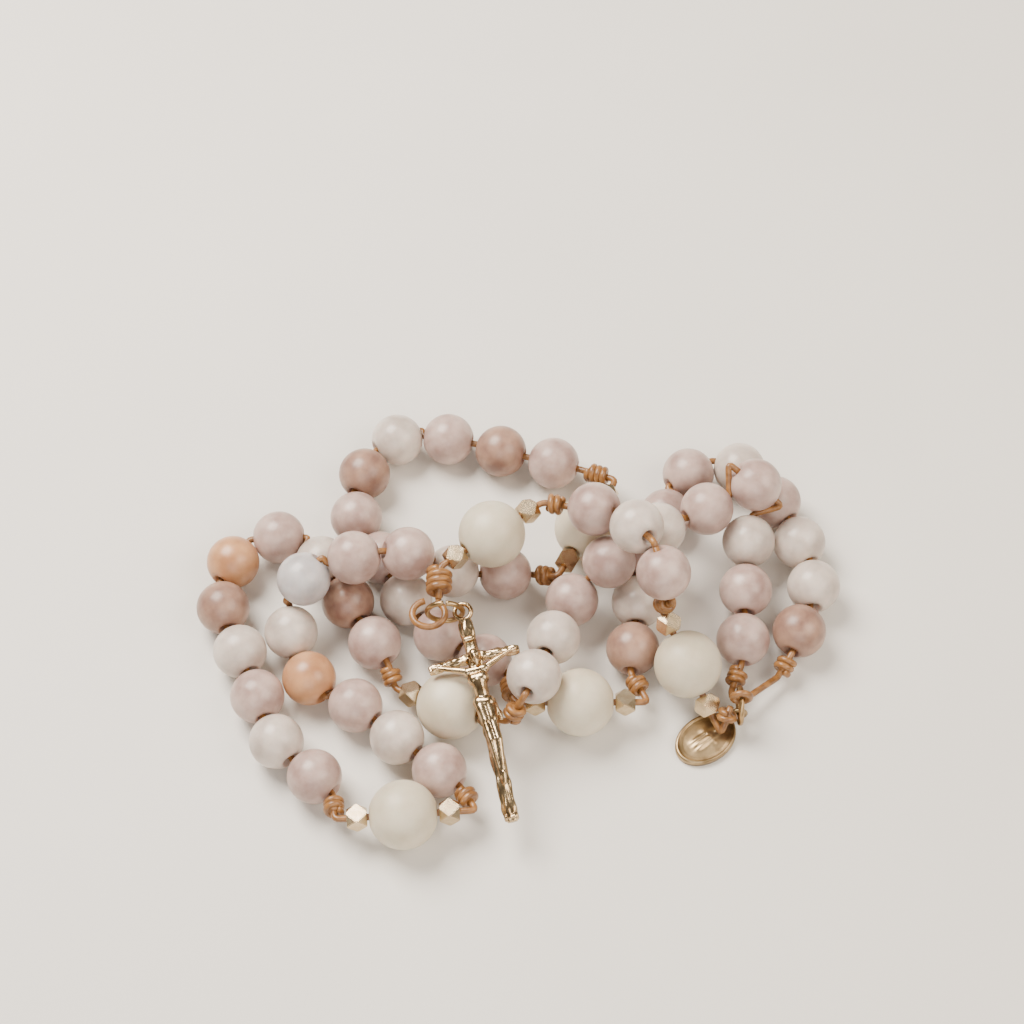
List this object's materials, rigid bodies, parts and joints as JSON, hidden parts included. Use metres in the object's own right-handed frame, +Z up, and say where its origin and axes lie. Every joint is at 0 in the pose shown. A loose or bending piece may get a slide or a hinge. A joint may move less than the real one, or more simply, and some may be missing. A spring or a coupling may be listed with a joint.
{
  "type": "rosary",
  "caption": "Loop of round stone beads knotted on leather cord, with a short beaded pendant ending in a jump ring and a small cast crucifix, and an oval medal.",
  "frame": {"origin": "middle of the heap's bounding box, on the plane it lies on", "axes": "+Z up from the table; +X towards the jump ring and medal; -Y towards the foot of the crucifix"},
  "size_m": [0.0971, 0.074, 0.0232],
  "materials": {
    "stone": "frosted",
    "cream_stone": "matte",
    "accent_metal": "satin",
    "medal_metal": "satin",
    "cross_metal": "polished cast",
    "cord": "smooth round leather"
  },
  "bodies": {
    "heap": {"loop_cord": "cord", "junction_cord": "cord", "medal_ring": "medal_metal", "decade_1_beads": "stone", "decade_2_beads": "stone", "decade_3_beads": "stone", "decade_4_beads": "stone", "decade_5_beads": "stone", "barrel_knot_01": "cord", "barrel_knot_02": "cord", "barrel_knot_03": "cord", "barrel_knot_04": "cord", "barrel_knot_05": "cord", "barrel_knot_06": "cord", "barrel_knot_07": "cord", "barrel_knot_08": "cord", "barrel_knot_09": "cord", "barrel_knot_10": "cord"},
    "pendant_link_1": {"upper_eye": "cord", "barrel_knot_11": "cord", "barrel_knot_12": "cord", "pendant_cord_1": "cord"},
    "pendant_link_2": {"pendant_cord_2": "cord"},
    "pendant_link_3": {"pendant_cord_3": "cord"},
    "pendant_link_4": {"pendant_cord_4": "cord"},
    "pendant_link_5": {"pendant_cord_5": "cord", "barrel_knot_13": "cord", "barrel_knot_14": "cord", "lower_eye": "cord"},
    "our_father_bead_1": {"our_father_bead_1": "cream_stone"},
    "accent_bead_01": {"accent_bead_01": "accent_metal"},
    "accent_bead_02": {"accent_bead_02": "accent_metal"},
    "our_father_bead_2": {"our_father_bead_2": "cream_stone"},
    "accent_bead_03": {"accent_bead_03": "accent_metal"},
    "accent_bead_04": {"accent_bead_04": "accent_metal"},
    "our_father_bead_3": {"our_father_bead_3": "cream_stone"},
    "accent_bead_05": {"accent_bead_05": "accent_metal"},
    "accent_bead_06": {"accent_bead_06": "accent_metal"},
    "our_father_bead_4": {"our_father_bead_4": "cream_stone"},
    "accent_bead_07": {"accent_bead_07": "accent_metal"},
    "accent_bead_08": {"accent_bead_08": "accent_metal"},
    "our_father_bead_5": {"our_father_bead_5": "cream_stone"},
    "accent_bead_09": {"accent_bead_09": "accent_metal"},
    "accent_bead_10": {"accent_bead_10": "accent_metal"},
    "our_father_bead_6": {"our_father_bead_6": "cream_stone"},
    "accent_bead_11": {"accent_bead_11": "accent_metal"},
    "accent_bead_12": {"accent_bead_12": "accent_metal"},
    "pendant_bead_1": {"pendant_bead_1": "stone"},
    "pendant_bead_2": {"pendant_bead_2": "stone"},
    "pendant_bead_3": {"pendant_bead_3": "stone"},
    "crucifix_ring": {"crucifix_ring": "cross_metal"},
    "crucifix": {"crucifix": "cross_metal"},
    "medal": {"medal": "medal_metal"}
  },
  "joints": [
    {"name": "pendant_lift", "type": "hinge", "parent": "heap", "child": "pendant_link_1", "pos_m": [0.0325, -0.014, 0.0066], "axis": [0, 1, 0], "range_deg": [0, 60]},
    {"name": "pendant_bend_1", "type": "hinge", "parent": "pendant_link_1", "child": "pendant_link_2", "pos_m": [0.0225, -0.0027, 0.0144], "axis": [0, 1, 0], "range_deg": [0, 15]},
    {"name": "pendant_bend_2", "type": "hinge", "parent": "pendant_link_2", "child": "pendant_link_3", "pos_m": [0.0195, 0.0035, 0.0215], "axis": [0, 1, 0], "range_deg": [0, 15]},
    {"name": "pendant_bend_3", "type": "hinge", "parent": "pendant_link_3", "child": "pendant_link_4", "pos_m": [0.015, 0.0115, 0.017], "axis": [0, 1, 0], "range_deg": [0, 15]},
    {"name": "pendant_bend_4", "type": "hinge", "parent": "pendant_link_4", "child": "pendant_link_5", "pos_m": [0.0075, 0.0145, 0.0135], "axis": [0, 1, 0], "range_deg": [0, 15]},
    {"name": "our_father_bead_1_spin", "type": "hinge", "parent": "heap", "child": "our_father_bead_1", "pos_m": [0.01895, -0.014, 0.005], "axis": [-1, 0, 0], "continuous": true},
    {"name": "accent_bead_01_spin", "type": "hinge", "parent": "heap", "child": "accent_bead_01", "pos_m": [0.0156, -0.014, 0.005], "axis": [-1, 0, 0], "continuous": true},
    {"name": "accent_bead_02_spin", "type": "hinge", "parent": "heap", "child": "accent_bead_02", "pos_m": [0.0024, -0.014, 0.005], "axis": [-1, 0, 0], "continuous": true},
    {"name": "our_father_bead_2_spin", "type": "hinge", "parent": "heap", "child": "our_father_bead_2", "pos_m": [0.01515, 0.02475, 0.005], "axis": [-0.4695, -0.8829, 0], "continuous": true},
    {"name": "accent_bead_03_spin", "type": "hinge", "parent": "heap", "child": "accent_bead_03", "pos_m": [0.0136, 0.02183, 0.005], "axis": [-0.4695, -0.8829, 0], "continuous": true},
    {"name": "accent_bead_04_spin", "type": "hinge", "parent": "heap", "child": "accent_bead_04", "pos_m": [0.0074, 0.01017, 0.005], "axis": [-0.4695, -0.8829, 0], "continuous": true},
    {"name": "our_father_bead_3_spin", "type": "hinge", "parent": "heap", "child": "our_father_bead_3", "pos_m": [-0.00608, -0.03127, 0.005], "axis": [-0.9976, -0.0698, 0], "continuous": true},
    {"name": "accent_bead_05_spin", "type": "hinge", "parent": "heap", "child": "accent_bead_05", "pos_m": [-0.00992, -0.03154, 0.005], "axis": [-0.9976, -0.0698, 0], "continuous": true},
    {"name": "accent_bead_06_spin", "type": "hinge", "parent": "heap", "child": "accent_bead_06", "pos_m": [-0.02308, -0.03246, 0.005], "axis": [-0.9976, -0.0698, 0], "continuous": true},
    {"name": "our_father_bead_4_spin", "type": "hinge", "parent": "heap", "child": "our_father_bead_4", "pos_m": [-0.0183, -0.01063, 0.00272], "axis": [0.8794, -0.4101, 0.2419], "continuous": true},
    {"name": "accent_bead_07_spin", "type": "hinge", "parent": "heap", "child": "accent_bead_07", "pos_m": [-0.0158, -0.01179, 0.0034], "axis": [0.8794, -0.4101, 0.2419], "continuous": true},
    {"name": "accent_bead_08_spin", "type": "hinge", "parent": "heap", "child": "accent_bead_08", "pos_m": [-0.0042, -0.01721, 0.0066], "axis": [0.8794, -0.4101, 0.2419], "continuous": true},
    {"name": "our_father_bead_5_spin", "type": "hinge", "parent": "pendant_link_1", "child": "our_father_bead_5", "pos_m": [0.02969, -0.0175, 0.00175], "axis": [-0.4255, 0.8002, 0.4226], "continuous": true},
    {"name": "accent_bead_09_spin", "type": "hinge", "parent": "pendant_link_1", "child": "accent_bead_09", "pos_m": [0.02771, -0.01378, 0.00371], "axis": [-0.4255, 0.8002, 0.4226], "continuous": true},
    {"name": "accent_bead_10_spin", "type": "hinge", "parent": "pendant_link_1", "child": "accent_bead_10", "pos_m": [0.02209, -0.00322, 0.00929], "axis": [-0.4255, 0.8002, 0.4226], "continuous": true},
    {"name": "our_father_bead_6_spin", "type": "hinge", "parent": "pendant_link_5", "child": "our_father_bead_6", "pos_m": [0.00358, 0.01531, 0.01349], "axis": [-0.818, -0.5728, -0.0523], "continuous": true},
    {"name": "accent_bead_11_spin", "type": "hinge", "parent": "pendant_link_5", "child": "accent_bead_11", "pos_m": [0.0014, 0.01378, 0.01334], "axis": [-0.818, -0.5728, -0.0523], "continuous": true},
    {"name": "accent_bead_12_spin", "type": "hinge", "parent": "pendant_link_5", "child": "accent_bead_12", "pos_m": [-0.0094, 0.00622, 0.01265], "axis": [-0.818, -0.5728, -0.0523], "continuous": true},
    {"name": "pendant_bead_1_spin", "type": "hinge", "parent": "pendant_link_2", "child": "pendant_bead_1", "pos_m": [0.021, 0.0004, 0.01795], "axis": [-0.3033, 0.6268, 0.7178], "continuous": true},
    {"name": "pendant_bead_2_spin", "type": "hinge", "parent": "pendant_link_3", "child": "pendant_bead_2", "pos_m": [0.01725, 0.0075, 0.01925], "axis": [-0.4402, 0.7826, -0.4402], "continuous": true},
    {"name": "pendant_bead_3_spin", "type": "hinge", "parent": "pendant_link_4", "child": "pendant_bead_3", "pos_m": [0.01125, 0.013, 0.01525], "axis": [-0.8519, 0.3408, -0.3976], "continuous": true},
    {"name": "crucifix_ring_swing", "type": "hinge", "parent": "pendant_link_5", "child": "crucifix_ring", "pos_m": [-0.0134, -0.0031, 0.0126], "axis": [-1, 0, 0], "range_deg": [0, 30]},
    {"name": "crucifix_swing", "type": "hinge", "parent": "crucifix_ring", "child": "crucifix", "pos_m": [-0.0082, -0.0031, 0.0126], "axis": [-1, 0, 0], "range_deg": [0, 15]},
    {"name": "medal_swing", "type": "hinge", "parent": "heap", "child": "medal", "pos_m": [0.0325, -0.014, 0.0014], "axis": [0, 0, 1], "range_deg": [0, 25]}
  ]
}
